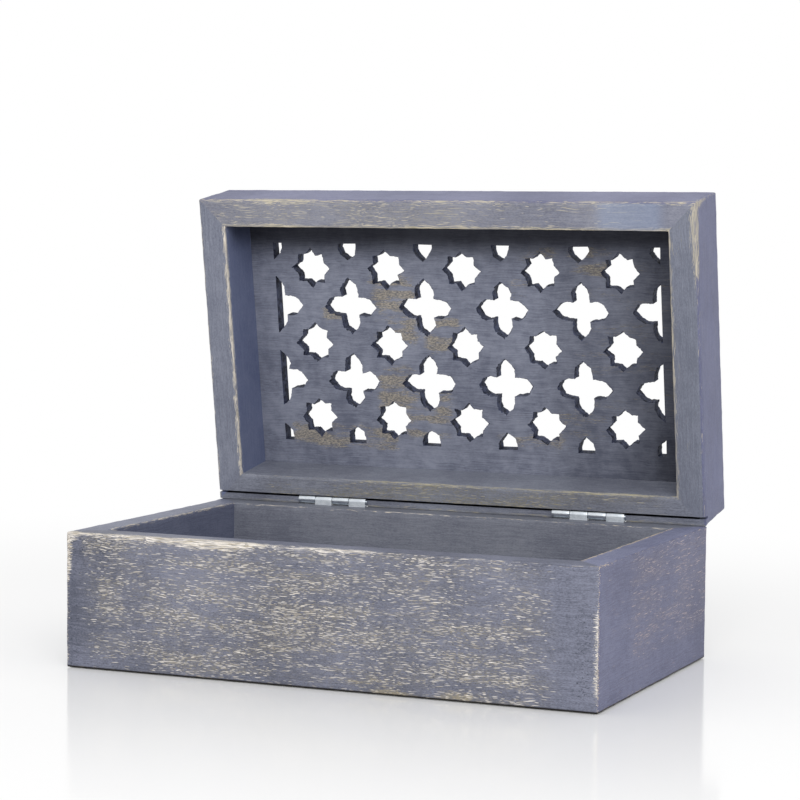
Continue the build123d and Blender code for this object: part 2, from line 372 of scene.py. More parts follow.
def dashes(tree, place, grain, length, width, cover, dullest):
    """Separate spindles along the grain, one to a cell; cover says what share of them is there."""
    scale = [dash_reach * 2 / width] * 3
    scale[grain] = dash_reach * 2 / length
    drawn = add(tree, "VectorMath", {"operation": "MULTIPLY", 1: scale}, {0: place})
    cells = add(tree, "TexVoronoi", {"Scale": 1.0}, {"Vector": drawn})
    dice = add(tree, "TexWhiteNoise", {}, {"Vector": cells.outputs["Color"]})
    chance = dice.outputs["Value"]
    other_chance = add(tree, "SeparateColor", {}, {0: dice.outputs["Color"]}).outputs["Blue"]
    spare = add(tree, "Math", {"operation": "SUBTRACT"}, {0: cover, 1: chance})
    there = add(tree, "MapRange", {"From Max": 0.1}, {"Value": spare})
    inside = add(tree, "MapRange", {"From Min": dash_reach, "From Max": dash_core},
                 {"Value": cells.outputs["Distance"]})
    shape = add(tree, "Math", product, {0: there, 1: inside})
    bright = add(tree, "MapRange", {"To Min": dullest}, {"Value": other_chance})
    return add(tree, "Math", product, {0: shape, 1: bright})


def most(tree, place, boxes):
    """The greatest share among boxes in millimetres that each fade out round them."""
    total = None
    for low, high, fade, share in boxes:
        mask = within(tree, place, low, high, fade)
        here = add(tree, "Math", {"operation": "MULTIPLY", 1: share}, {0: mask})
        if total is not None:
            here = add(tree, "Math", greatest, {0: here, 1: total})
        total = here
    return total


# Milk paint over hardwood, brushed on thin and rubbed back: dull slate blue with a little sheen,
# pale dashes where the raised grain is bare, cream along the worn arrises. Painted shade darkens
# hollows, the saw groove and the fretwork beside the rails, and a painted contact shadow runs along
# the foot. The patterns are laid out on the shut box, and they and the sizes below are in millimetres.
lid_open = radians(frame["joints"][0]["range_deg"][1])
hinge_line = Vector((0, axis_y, axis_z))
far = 300.0
wander, wander_size = 3.0, 16.0
blotch_length, blotch_width = 34.0, 6.0
comb_length, comb_width = 8.0, 0.36
outer_comb, rim_comb = 10.0, 7.0
scratch_length, scratch_width = 10.0, 0.3
brush_length, brush_width = 22.0, 0.5
pore_length, pore_width = 1.4, 0.4
speck_length, speck_width = 1.1, 0.4
fleck_length, fleck_width = 1.3, 0.5
broad_size = 45.0
cloud_size = 7.0
face_skin, back_skin, rim_skin = 1.4, 1.5, 1.2
arris_wander = 1.2
broad_share, tone_spread = 0.8, 0.3
usual_noise = 0.5
brush_height, pore_height, bare_height = 0.03, 0.06, 0.03
paint_roughness, wood_roughness = 0.5, 0.75
# Height and fade of a painted contact shadow along the foot of the base, where it stands on the floor, and
# its colour
foot_height, foot_fade = 0.8, 0.7
foot_shadow = "#17140f"


def rubbed_paint(name, low, high, rim_up, grain, wear, on_lid=False):
    """The paint of one board of a ring that lies between two corners when the box is shut."""
    material = blank_material(name)
    tree = material.node_tree
    turn = lid_open if on_lid else 0.0
    shift = (hinge_line - Matrix.Rotation(turn, 3, "X") @ hinge_line) / mm
    where = add(tree, "TexCoord")
    place = add(tree, "Mapping", {"Location": shift, "Rotation": (turn, 0, 0), "Scale": [1 / mm] * 3},
                {"Vector": where.outputs["Object"]})
    bends = add(tree, "TexNoise", {"Scale": 1 / wander_size, "Detail": 1.0}, {"Vector": place})
    wavy = add(tree, "VectorMath", {"operation": "MULTIPLY_ADD", 1: [wander] * 3},
               {0: bends.outputs["Color"], 2: place})

    # How far a point lies inside the nearest outer arris, as a negative length, and how far
    # from the inner arris of the rim
    inset = past_faces(tree, place, low / mm, high / mm)
    across, along, upright = add(tree, "SeparateXYZ", {}, {0: inset}).outputs
    greater = add(tree, "Math", greatest, {0: across, 1: along})
    lesser = add(tree, "Math", {"operation": "MINIMUM"}, {0: across, 1: along})
    second = add(tree, "Math", {"operation": "MINIMUM"}, {0: greater, 1: upright})
    outer_edge = add(tree, "Math", greatest, {0: lesser, 1: second})
    level = add(tree, "SeparateXYZ", {}, {0: place}).outputs["Z"]
    off_levels = []
    for end in (high.z, low.z) if rim_up else (low.z, high.z):
        from_end = add(tree, "Math", {"operation": "SUBTRACT", 1: end / mm}, {0: level})
        off_levels.append(add(tree, "Math", {"operation": "ABSOLUTE"}, {0: from_end}))
    off_rim, off_back = off_levels
    from_hollow = add(tree, "Math", {"operation": "ADD", 1: wall / mm}, {0: greater})
    inner_edge = add(tree, "Math", greatest, {0: from_hollow, 1: off_rim})
    on_side = add(tree, "MapRange", {"From Min": -face_skin, "From Max": -face_skin / 2}, {"Value": greater})
    on_back = add(tree, "MapRange", {"From Min": back_skin, "From Max": back_skin / 3}, {"Value": off_back})
    on_face = add(tree, "Math", greatest, {0: on_side, 1: on_back})
    on_rim = add(tree, "MapRange", {"From Min": rim_skin, "From Max": rim_skin / 2}, {"Value": off_rim})

    # Dashes on the outer faces and in parts of the rim, thick in some blotches and thin in others
    blotch = grained(tree, place, grain, blotch_length, blotch_width, 3.0)
    patchy = add(tree, "MapRange", {"From Min": 0.38, "From Max": 0.6, "To Min": 0.3, "To Max": 1.1},
                 {"Value": blotch})
    face_cover = add(tree, "Math", product, {0: most(tree, wavy, wear["face"]), 1: on_face})
    if wear["rim_face"]:
        rim_cover = add(tree, "Math", product, {0: most(tree, wavy, wear["rim_face"]), 1: on_rim})
        face_cover = add(tree, "Math", greatest, {0: face_cover, 1: rim_cover})
    cover = add(tree, "Math", product, {0: face_cover, 1: patchy})
    bare = None
    for length, width, share, dullest in wear["dashes"]:
        here = add(tree, "Math", {"operation": "MULTIPLY", 1: share}, {0: cover})
        kind = dashes(tree, wavy, grain, length, width, here, dullest)
        if bare is not None:
            kind = add(tree, "Math", greatest, {0: kind, 1: bare})
        bare = kind

    # Long fine streaks on the rim and the inside, and where a patch was rubbed through
    rubs = grained(tree, wavy, grain, wear["streak"], wear["fine"], 3.0, 0.6)
    under_face = add(tree, "Math", {"operation": "SUBTRACT", 0: 1.0}, {1: on_face})
    plain_cover = add(tree, "MapRange", {"To Min": wear["inside"], "To Max": wear["rim"]},
                      {"Value": on_rim})
    inner_cover = add(tree, "Math", product, {0: plain_cover, 1: under_face})
    streaked = add(tree, "Math", product, {0: inner_cover, 1: patchy})
    if wear["rubs"]:
        spots = add(tree, "Math", product, {0: most(tree, wavy, wear["rubs"]), 1: patchy})
        streaked = add(tree, "Math", greatest, {0: streaked, 1: spots})
    streak = streaks(tree, rubs, streaked, 0.78, 0.42, 0.16)

    # Worn arrises: combed along the grain, and wider in the boxes that the wear names
    combed = grained(tree, wavy, grain, comb_length, comb_width, 3.0, 0.6)
    broad = add(tree, "TexNoise", {"Scale": 1 / broad_size, "Detail": 1.0}, {"Vector": place}).outputs["Fac"]
    width = add(tree, "MapRange", {"From Min": 0.35, "From Max": 0.65, "To Min": wear["arris"] - arris_wander,
                                   "To Max": wear["arris"]}, {"Value": broad})
    for low_corner, high_corner, fade, extra in wear["bands"]:
        band = within(tree, place, low_corner, high_corner, fade)
        width = add(tree, "Math", {"operation": "MULTIPLY_ADD", 1: extra}, {0: band, 2: width})
    teeth = add(tree, "Math", {"operation": "MULTIPLY_ADD", 1: outer_comb, 2: -outer_comb / 2},
                {0: combed})
    outer_sum = add(tree, "Math", {"operation": "ADD"}, {0: outer_edge, 1: width})
    outer_ragged = add(tree, "Math", {"operation": "ADD"}, {0: outer_sum, 1: teeth})
    outer_worn = add(tree, "MapRange", {"interpolation_type": "SMOOTHSTEP", "From Max": 0.8},
                     {"Value": outer_ragged})
    rim_sum = add(tree, "Math", {"operation": "SUBTRACT", 0: wear["rim_arris"]}, {1: inner_edge})
    small_teeth = add(tree, "Math", {"operation": "MULTIPLY_ADD", 1: rim_comb, 2: -rim_comb / 2},
                      {0: combed})
    rim_ragged = add(tree, "Math", {"operation": "ADD"}, {0: rim_sum, 1: small_teeth})
    rim_worn = add(tree, "MapRange", {"interpolation_type": "SMOOTHSTEP", "From Max": 0.5},
                   {"Value": rim_ragged})
    scratches = grained(tree, wavy, grain, scratch_length, scratch_width, 2.0, 0.6)
    broken = add(tree, "MapRange", {"From Min": 0.36, "From Max": 0.54, "To Min": 0.2},
                 {"Value": scratches})
    outer_broken = add(tree, "Math", product, {0: outer_worn, 1: broken})
    kept = add(tree, "MapRange", {"From Min": 0.42, "From Max": 0.56, "To Min": wear["rim_kept"]},
               {"Value": blotch})
    rim_broken = add(tree, "Math", product, {0: rim_worn, 1: kept})
    arris_worn = add(tree, "Math", greatest, {0: outer_broken, 1: rim_broken})
    bright = add(tree, "Math", greatest, {0: bare, 1: arris_worn})

    # Colours: the paint lies thin in lines along the grain, and a brown haze of bare pores
    # shows through it wherever it is rubbed
    brushed = grained(tree, wavy, grain, brush_length, brush_width, 3.0, 0.6)
    tone_sum = add(tree, "Math", {"operation": "MULTIPLY_ADD", 1: broad_share}, {0: broad, 2: brushed})
    speckle = grained(tree, wavy, grain, speck_length, speck_width, 2.0, 0.7)
    cloudy = add(tree, "TexNoise", {"Scale": 1 / cloud_size, "Detail": 4.0, "Roughness": 0.65},
                 {"Vector": place}).outputs["Fac"]
    fine_sum = add(tree, "Math", {"operation": "MULTIPLY_ADD", 1: wear["specked"]},
                   {0: speckle, 2: tone_sum})
    all_sum = add(tree, "Math", {"operation": "MULTIPLY_ADD", 1: wear["cloudy"]},
                  {0: cloudy, 2: fine_sum})
    usual_sum = usual_noise * (1 + broad_share + wear["specked"] + wear["cloudy"])
    tone = add(tree, "MapRange", {"From Min": usual_sum - tone_spread, "From Max": usual_sum + tone_spread},
               {"Value": all_sum})
    paint = add(tree, "Mix", {"data_type": "RGBA", first_colour: linear(wear["deep"]),
                              second_colour: linear(wear["plain"])}, {0: tone}).outputs[mixed_colour]
    tinted = add(tree, "Mix", {"data_type": "RGBA", "blend_type": "MULTIPLY",
                               second_colour: linear(wear["tint"])},
                 {0: on_face, first_colour: paint}).outputs[mixed_colour]
    mottle = grained(tree, wavy, grain, pore_length, pore_width, 3.0, 0.75)
    mottled = add(tree, "MapRange", {"From Min": 0.44, "From Max": 0.58}, {"Value": mottle})
    haze = add(tree, "Math", {"operation": "MULTIPLY", "use_clamp": True}, {0: cover, 1: mottled})
    hazed = add(tree, "Mix", {"data_type": "RGBA", second_colour: linear(wear["haze"])},
                {0: haze, first_colour: tinted}).outputs[mixed_colour]
    streaky = add(tree, "Math", {"operation": "MULTIPLY", 1: wear["streaky"]}, {0: streak})
    pored = add(tree, "Mix", {"data_type": "RGBA", first_colour: linear(wear["haze"]),
                              second_colour: linear(wear["tan"])}, {0: mottled}).outputs[mixed_colour]
    through = add(tree, "Mix", {"data_type": "RGBA"},
                  {0: streaky, first_colour: hazed, second_colour: pored}).outputs[mixed_colour]
    wood_tone = add(tree, "MapRange", {"From Min": 0.36, "From Max": 0.56}, {"Value": rubs})
    wood = add(tree, "Mix", {"data_type": "RGBA", first_colour: linear(wear["tan"]),
                             second_colour: linear(wear["cream"])}, {0: wood_tone}).outputs[mixed_colour]
    rubbed = add(tree, "Mix", {"data_type": "RGBA"},
                 {0: bright, first_colour: through, second_colour: wood}).outputs[mixed_colour]
    layers = [(arris_worn, wear["handled"])] if wear["handled"] else []

    # Painted shade in the hollow, dirt in specks beside the worn arrises, colour in the boxes that each
    # board names, mostly painted shade, and a painted contact shadow along the foot of the base
    hollow = add(tree, "Math", {"operation": "SUBTRACT"}, {0: under_face, 1: on_rim})
    hollow.use_clamp = True
    dim = add(tree, "Math", {"operation": "MULTIPLY", 1: wear["dim"]}, {0: hollow})
    if wear["flecks"]:
        specks = grained(tree, place, grain, fleck_length, fleck_width, 3.0, 0.75)
        flecks = streaks(tree, specks, most(tree, wavy, wear["flecks"]), 0.8, 0.46, 0.1)
        dim = add(tree, "Math", greatest, {0: dim, 1: flecks})
    layers.append((dim, wear["grime"]))
    if wear["shaded"]:
        shaded = add(tree, "Math", product, {0: most(tree, place, wear["shaded"]), 1: under_face})
        layers.append((shaded, wear["shade"]))
    at_foot = within(tree, place, (-far, -far, -far), (far, far, foot_height), foot_fade)
    layers.append((at_foot, foot_shadow))
    for mask, colour in layers:
        rubbed = add(tree, "Mix", {"data_type": "RGBA", second_colour: linear(colour)},
                     {0: mask, first_colour: rubbed}).outputs[mixed_colour]

    # Relief in millimetres: the open grain under the paint, and bare wood standing proud of it
    fibre = add(tree, "Math", {"operation": "MULTIPLY", 1: brush_height}, {0: brushed})
    pores = add(tree, "Math", {"operation": "MULTIPLY_ADD", 1: pore_height}, {0: mottle, 2: fibre})
    height = add(tree, "Math", {"operation": "MULTIPLY_ADD", 1: bare_height}, {0: bright, 2: pores})
    relief = add(tree, "Bump", {"Distance": mm, "Strength": 0.8}, {"Height": height})
    gloss = add(tree, "MapRange", {"To Min": paint_roughness, "To Max": wood_roughness}, {"Value": bright})
    shader = add(tree, "BsdfPrincipled", {"IOR": 1.5, "Specular IOR Level": wear["shine"]},
                 {"Base Color": rubbed, "Roughness": gloss, "Normal": relief})
    add(tree, "OutputMaterial", {}, {"Surface": shader})
    return material


everywhere = ((-far, -far, -far), (far, far, far), 1.0)


def worn(**differs):
    """How one board is worn; what isn't said is as on most boards.

    A box is its low and high corner on the shut box, how far it fades out round them, and the
    share that is bare, dirty or darkened with painted shade there, or how much wider its arris is worn.
    """
    usual = {
        # Dashes: boxes on the faces and on the rim, and each kind's length, width, share and dullest tone
        "face": [(*everywhere, 0.5)], "rim_face": (),
        "dashes": ((7.0, 0.36, 0.5, 0.6), (4.6, 0.38, 0.9, 0.4), (2.2, 0.3, 0.6, 0.2)),
        # Streaks: their share on the rim and inside, boxes that are rubbed through, how long and
        # wide they are, and how bare they leave the wood
        "rim": 0.1, "inside": 0.05, "rubs": (), "streak": 12.0, "fine": 0.36, "streaky": 0.8,
        # Worn arrises: their width outside and round the rim's inside, how little of the latter is
        # left in places, and boxes that are worn wider
        "arris": 0.8, "rim_arris": 0.3, "rim_kept": 0.8, "bands": (),
        # Painted shade and dirt: share of painted shade in the hollow, dirt flecks, painted shade boxes,
        # colours
        "dim": 0.0, "flecks": (), "shaded": (), "grime": "#434a62", "shade": "#17140f",
        # Paint: how specked, cloudy and shiny it is, and its colours, with a tint for the outside
        "specked": 1.0, "cloudy": 0.5, "shine": 0.2, "deep": "#626573", "plain": "#838697",
        "tint": "#ffffff",
        # Wood: as a haze under the paint, bare at its darkest and palest, and where hands wore it
        "haze": "#88847a", "tan": "#a89f8e", "cream": "#ebe2d3", "handled": ""}
    return usual | differs


base_wear = {
    "front": worn(face=[((-104, -far, 11), (94, far, 58), 18.0, 0.5),
                        ((-78, -far, 10), (94, far, 36), 20.0, 0.9),
                        ((-30, -far, 30), (40, far, 54), 16.0, 0.75),
                        ((-106, -far, 30), (-98, far, 42), 6.0, 0.9),
                        ((-112, -far, 52), (50, far, 60), 8.0, 0.8)],
                  dashes=((6.2, 0.3, 0.5, 0.85), (4.0, 0.3, 1.1, 0.6), (2.0, 0.3, 0.8, 0.4)),
                  arris=0.4, rim_arris=0.2, streak=9.0, grime="#363a45", specked=1.3,
                  rubs=[((16, -80, 1.5), (70, -70, 7), 6.0, 1.3)],
                  bands=[((-127, -80, 58), (-40, -70, 66), 16.0, 2.2),
                         ((-60, -80, 56), (15, -70, 66), 18.0, 1.5),
                         ((-130, -80, 46), (-125, -70, 70), 8.0, 2.4),
                         ((-130, -80, 5), (-125, -70, 46), 5.0, 1.6),
                         ((124, -80, 10), (130, -72, 40), 6.0, 1.3)],
                  flecks=[((-130, -80, 54), (-100, -70, 60), 7.0, 0.75),
                          ((-130, -80, 4), (-120, -70, 60), 4.0, 0.7),
                          ((-124, -80, 2), (-106, -70, 58), 8.0, 0.6),
                          ((119, -80, 8), (125, -70, 44), 4.0, 0.7),
                          ((-78, -80, 10), (94, -70, 36), 16.0, 0.62),
                          ((-30, -80, 30), (40, -70, 54), 14.0, 0.5)],
                  deep="#595c6a", plain="#828596", haze="#85817a", tan="#a99d84", cream="#f6efe6"),
    # The right wall's inner face is mixed a little towards a greyer painted shade (dim)
    "right": worn(face=[((-far, -25, 26), (far, 70, 56), 16.0, 0.6),
                        ((-far, -70, 6), (far, 70, 60), 10.0, 0.1)],
                  dashes=((12.0, 0.34, 0.7, 0.4), (7.0, 0.34, 0.8, 0.3), (3.5, 0.32, 0.6, 0.1)), arris=0.7,
                  rubs=[((120, -62, 28), (130, -36, 36), 5.0, 0.6),
                        ((120, -68, 50), (130, -56, 56), 3.0, 0.6)],
                  streak=10.0, streaky=0.6, rim_arris=2.0, dim=0.3, deep="#6d708b", plain="#9094ae",
                  tint="#d4d4db", haze="#857f88", tan="#a39a9a", cream="#c3b4b2", handled="#d3c2a8",
                  grime="#7d8179"),
    "rear": worn(face=[((-90, -far, 12), (96, far, 50), 20.0, 0.7)], deep="#6a6d7a", plain="#8a8d97"),
    # The left wall's inner face is darkened with a bluish painted shade (dim)
    "left": worn(face=[((-far, -60, 10), (far, 60, 50), 20.0, 0.6)], dim=0.35, rim_arris=0.8,
                 deep="#6a6e80", plain="#8c90a3", grime="#3c4868"),
}


def finish_boards(boards, names, low, high, rim_up, wear, body):
    """Paints the four boards of a ring and puts them in their CAD boards' places."""
    for side, board in boards.items():
        node = names.format(side)
        grain = 0 if side in ("front", "rear") else 1
        board.data.materials.clear()
        board.data.materials.append(
            rubbed_paint("rubbed_milk_paint_" + node, low, high, rim_up, grain, wear[side], body == "lid"))
        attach(board, body)
        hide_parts(node)


finish_boards(base_boards, "base_{}_wall", base_low, base_high, True, base_wear, "base")


# Bottom board: one thin board let into the rebate round the foot of the walls, held by brads
# driven up from below. It is painted like the walls, and its grain runs along the box.
bottom_low, bottom_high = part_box("base_bottom_board")
bottom_arris = 0.35 * mm


def thin_board(name, low, high, arris):
    """A thin board between two corners, its arrises eased and its faces rubbed."""
    board = block(name, low, high)
    bpy.ops.object.mode_set(mode="EDIT")
    bpy.ops.mesh.select_all(action="SELECT")
    bpy.ops.mesh.bevel(offset=arris, segments=2, affect="EDGES")
    divide(low, high)
    bpy.ops.object.mode_set(mode="OBJECT")
    rub(board, rub_depth, rub_size, "")
    return board


bottom = thin_board("painted_bottom_board", bottom_low, bottom_high, bottom_arris)
reach = Vector((base_high.x - wall + rebate_width / 2, base_high.y - wall + rebate_width / 2, 0))
bottom_places = [(reach.x * x, reach.y * y, bottom_low.z) for x in (-2 / 3, 0, 2 / 3) for y in (-1, 1)]
bottom_places += [(reach.x * x, reach.y * y, bottom_low.z) for x in (-1, 1) for y in (-1 / 2, 1 / 2)]
carve(bottom, *[brad_hole(place, (0, 0, 0)) for place in bottom_places])
bottom.data.materials.append(
    rubbed_paint("rubbed_milk_paint_bottom", bottom_low, bottom_high, True, 0,
                 worn(face=[(*everywhere, 0.3)], arris=0, rim_arris=-9.0)))
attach(bottom, "base")
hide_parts("base_bottom_board")


# Lid rails: a shallow ring of four mitred boards like the base's, made shut and then swung open.
# A saw groove for the hinge leaves runs the whole width of its rear rim; behind the groove the
# rim is planed back, rounded and notched for the barrels, so that the lid clears the base.
lid_gap = 1.2 * mm
lid_height = 33 * mm
fret_thickness = 6.5 * mm
groove_depth = 4 * mm
strip_setback = 1.3 * mm
strip_edge_radius = 0.5 * mm
barrel_radius = 2.1 * mm
notch_play = 0.35 * mm
notch_end_play = 0.15 * mm
lid_low = Vector((base_low.x, base_low.y, base_high.z + lid_gap))
lid_high = Vector((base_high.x, base_high.y, lid_low.z + lid_height))
lid_slot_top = 2 * axis_z - base_slot_floor


def swing_open(piece):
    """Turns a piece that was made on the shut lid to where the lid rests."""
    only(piece)
    bpy.ops.object.mode_set(mode="EDIT")
    bpy.ops.mesh.select_all(action="SELECT")
    bpy.ops.transform.rotate(value=lid_open, orient_axis="X", orient_type="GLOBAL",
                             center_override=hinge_line)
    bpy.ops.object.mode_set(mode="OBJECT")


lid_ring = board_ring("lid_ring", lid_low, lid_high, False, fret_thickness)
strip_level = lid_low.z + strip_setback
past_low = lid_low - Vector([cut_overrun] * 3)
past_high = lid_high + Vector([cut_overrun] * 3)
carve(lid_ring, block("strip", Vector((past_low.x, slot_rear_y, past_low.z)),
                      Vector((past_high.x, past_high.y, strip_level))))
carve(lid_ring, block("groove", Vector((past_low.x, slot_front_y, past_low.z)),
                      Vector((past_high.x, slot_rear_y, lid_low.z + groove_depth))))
carve(lid_ring, *leaf_slots(past_low.z, lid_slot_top))
notches = []
for side in ("left", "right"):
    low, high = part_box(side + "_hinge_base_leaf")
    notches.append(block("notch", Vector((low.x - notch_end_play, slot_front_y, past_low.z)),
                         Vector((high.x + notch_end_play, past_high.y, axis_z + barrel_radius + notch_play))))
carve(lid_ring, *notches)
carve(lid_ring, *hinge_brad_holes(lid_low.z + hinge_brad_inset))

# The strip's rear edge is rounded
only(lid_ring)
bpy.ops.object.mode_set(mode="EDIT")
pick(lid_ring, "edges", lambda edge: all(
    near(v.co.y, lid_high.y) and near(v.co.z, strip_level) for v in edge.verts))
bpy.ops.mesh.bevel(offset=strip_edge_radius, segments=4, affect="EDGES")
bpy.ops.object.mode_set(mode="OBJECT")


def over_base(face):
    at = face.calc_center_median()
    return at.z < lid_low.z + groove_depth and at.y > slot_rear_y


rub_down(lid_ring, lid_low, lid_high, lid_low.z, over_base)
lid_boards = mitred_boards(lid_ring, lid_low, lid_high, "painted_lid_{}_rail")
for board in lid_boards.values():
    swing_open(board)
groove_low = (-far, slot_front_y / mm, -far)
groove_high = (far, slot_rear_y / mm, (lid_low.z + groove_depth) / mm)
lid_wear = {
    "front": worn(face=[(*everywhere, 0.05)], rim=0.06, inside=0.005, rim_arris=1.5, rim_kept=0.4, arris=0.8,
                  streak=14.0, fine=0.34, shade="#98a6c2",
                  dashes=((16.0, 0.3, 0.6, 0.4), (9.0, 0.3, 0.7, 0.3), (4.0, 0.28, 0.5, 0.2)),
                  rim_face=[((-125, -80, 60), (12, -60, 66), 12.0, 0.6),
                            ((12, -80, 60), (95, -60, 66), 16.0, 0.35)],
                  # Its shade colour here is a paler blue, laid in a patch on the rim near its right end
                  shaded=[((84, -76, 60), (106, -66, 66), 8.0, 0.4)],
                  bands=[((-127, -80, 60), (-75, -70, 66), 20.0, 1.3),
                         ((0, -80, 60), (127, -70, 66), 30.0, 0.6)],
                  deep="#6c6f80", plain="#9294a1", tint="#e3e4ff", haze="#97948f", tan="#b1aa92",
                  cream="#d9cfba"),
    "right": worn(face=[(*everywhere, 0.12)], rim=0.5, rim_arris=1.5, rim_kept=0.5, arris=0.9,
                  bands=[((122, -80, 60), (130, -48, 66), 18.0, 2.6)],
                  dashes=((14.0, 0.36, 0.5, 0.4), (4.0, 0.36, 0.4, 0.4)),
                  deep="#6c707e", plain="#868a98", tint="#e2e2ff", tan="#98948a", cream="#c6bdab"),
    "rear": worn(face=[(*everywhere, 0.5)], rim=0.24, inside=0.02, rim_arris=1.0, rim_kept=0.05, fine=0.4,
                 # Painted shade darkens the inside of the saw groove
                 shaded=[(groove_low, groove_high, 0.2, 1.0)],
                 dashes=((12.0, 0.32, 0.6, 0.5), (6.0, 0.34, 0.8, 0.3), (3.0, 0.32, 0.5, 0.2)),
                 rim_face=[((-50, 60, 60), (55, 71, 66), 26.0, 0.8),
                           ((-90, 60, 60), (100, 71, 66), 16.0, 0.4)],
                 deep="#6e717e", plain="#969aa7", haze="#8d8876", tan="#aba386", cream="#c9c0a8",
                 shade="#0c0d11"),
    # The left rail's inner face takes a bluish painted shade (dim), and a darker painted shadow at its top
    # end beside the front rail and the fretwork
    "left": worn(face=[(*everywhere, 0.5)], rim=0.25, rim_arris=1.5, arris=0.9, dim=0.4,
                 shaded=[((-130, -70, 76), (-100, -60, 94), 14.0, 0.6)],
                 deep="#6b6f7f", plain="#8d919f", grime="#5d6fa4", shade="#11141d"),
}
finish_boards(lid_boards, "lid_{}_rail", lid_low, lid_high, False, lid_wear, "lid")


# Fretwork board: the top of the lid, sawn by hand from a thin board of the same wood, so that
# no two stars or crosses are alike and their edges are ragged. It lies in the rails' rebate.
star_columns, star_rows = 5, 3
pitch_x = 40.3 * mm
pitch_y = 37.8 * mm
star_tip = 10.2 * mm
star_flat = 6.95 * mm
cross_tip = 14.5 * mm
cross_half_width = 4.87 * mm
cross_shoulder = 8.7 * mm
cross_bulge = 1.3 * mm
field_half = Vector((star_columns * pitch_x / 2, 50.5 * mm, 0))
sawn_step = 0.6 * mm
saw_wander = 0.6 * mm
saw_mouth = 0.3 * mm
saw_rag = 0.8 * mm
saw_rag_size = 1.2 * mm
fret_arris = 0.4 * mm
mouth_reach = 6 * mm
saw_seed = 5
sawing = Random(saw_seed)
fret_inset = wall - rebate_width + board_fit
fret_low = Vector((lid_low.x + fret_inset, lid_low.y + fret_inset, lid_high.z - fret_thickness))
fret_high = Vector((lid_high.x - fret_inset, lid_high.y - fret_inset, lid_high.z))

# Where the sides of a star's two squares cross
star_valley_y = star_tip - star_flat
star_valley = sqrt(star_flat ** 2 + star_valley_y ** 2)
star_lean = atan2(star_valley_y, star_flat) - pi / 8


def star_corners():
    """Eight points, a square laid over another that is turned by 45 degrees."""
    corners = []
    for number in range(8):
        angle = number * pi / 4
        tip = star_flat * sqrt(2) if number % 2 else star_tip
        corners.append((tip * cos(angle), tip * sin(angle)))
        lean = pi / 8 + (-1) ** number * star_lean
        corners.append((star_valley * cos(angle + lean), star_valley * sin(angle + lean)))
    return corners


def cross_corners():
    """Four straight arms that arch to a point past their shoulders."""
    corners = []
    swell = (cross_half_width / 2 + cross_bulge, (cross_shoulder + cross_tip) / 2)
    side = [(cross_half_width, cross_half_width), (cross_half_width, cross_shoulder), swell, (0, cross_tip)]
    arm = side + [(-x, y) for x, y in side[-2:0:-1]]
    for turn in range(4):
        corners += arm
        arm = [(-y, x) for x, y in arm]
    return corners


def sawn_opening(corners, middle):
    """A cutter for one opening: its corners are set a little off, and its sides are divided."""
    off = [(x + sawing.uniform(-1, 1) * saw_wander, y + sawing.uniform(-1, 1) * saw_wander)
           for x, y in corners]
    outline = []
    for here, there in zip(off, off[1:] + off[:1]):
        run = Vector(there) - Vector(here)
        steps = max(1, round(run.length / sawn_step))
        outline += [Vector(here) + run * step / steps for step in range(steps)]
    bpy.ops.object.select_all(action="DESELECT")
    bpy.ops.mesh.primitive_circle_add(vertices=len(outline), radius=star_tip, fill_type="NGON")
    cutter = bpy.context.object
    for vertex, point in zip(cutter.data.vertices, outline):
        vertex.co = (middle[0] + point.x, middle[1] + point.y, fret_low.z - cut_overrun)
    bpy.ops.object.mode_set(mode="EDIT")
    bpy.ops.mesh.select_all(action="SELECT")
    for axis in range(2):
        for end in (-1, 1):
            away = Vector((0, 0, 0))
            away[axis] = end
            if abs(middle[axis]) + cross_tip > field_half[axis] and middle[axis] * end > 0:
                bpy.ops.mesh.select_all(action="SELECT")
                bpy.ops.mesh.bisect(plane_co=field_half * end, plane_no=away, clear_outer=True)
    bpy.ops.mesh.select_all(action="SELECT")
    wide = 1 + saw_mouth / mouth_reach
    levels = [(cut_overrun, 1.0), (saw_mouth, 1 / wide), (fret_thickness / 2 - saw_mouth, 1.0),
              (fret_thickness / 2 - saw_mouth, 1.0), (saw_mouth, wide), (cut_overrun, 1.0)]
    for rise, growth in levels:
        bpy.ops.mesh.extrude_region_move(TRANSFORM_OT_translate={"value": (0, 0, rise)})
        bpy.ops.transform.resize(value=(growth, growth, 1))
    bpy.ops.mesh.select_all(action="SELECT")
    bpy.ops.mesh.normals_make_consistent(inside=False)
    bpy.ops.object.mode_set(mode="OBJECT")
    return cutter


def grid(columns, rows):
    """Middles of a centred grid on the pattern's pitch."""
    return [((column - (columns - 1) / 2) * pitch_x, (row - (rows - 1) / 2) * pitch_y)
            for column in range(columns) for row in range(rows)]


fret = thin_board("painted_fretwork_board", fret_low, fret_high, fret_arris)
openings = [sawn_opening(star_corners(), middle) for middle in grid(star_columns, star_rows)]
openings += [sawn_opening(cross_corners(), middle) for middle in grid(star_columns + 1, star_rows + 1)]
only(*openings)
bpy.ops.object.join()
rag = bpy.data.textures.new("sawing", "CLOUDS")
rag.noise_scale = saw_rag_size
rag.noise_depth = 2
tear = openings[0].modifiers.new("sawing", "DISPLACE")
tear.texture = rag
tear.texture_coords = "LOCAL"
tear.strength = saw_rag
apply_last(openings[0])
carve(fret, openings[0])

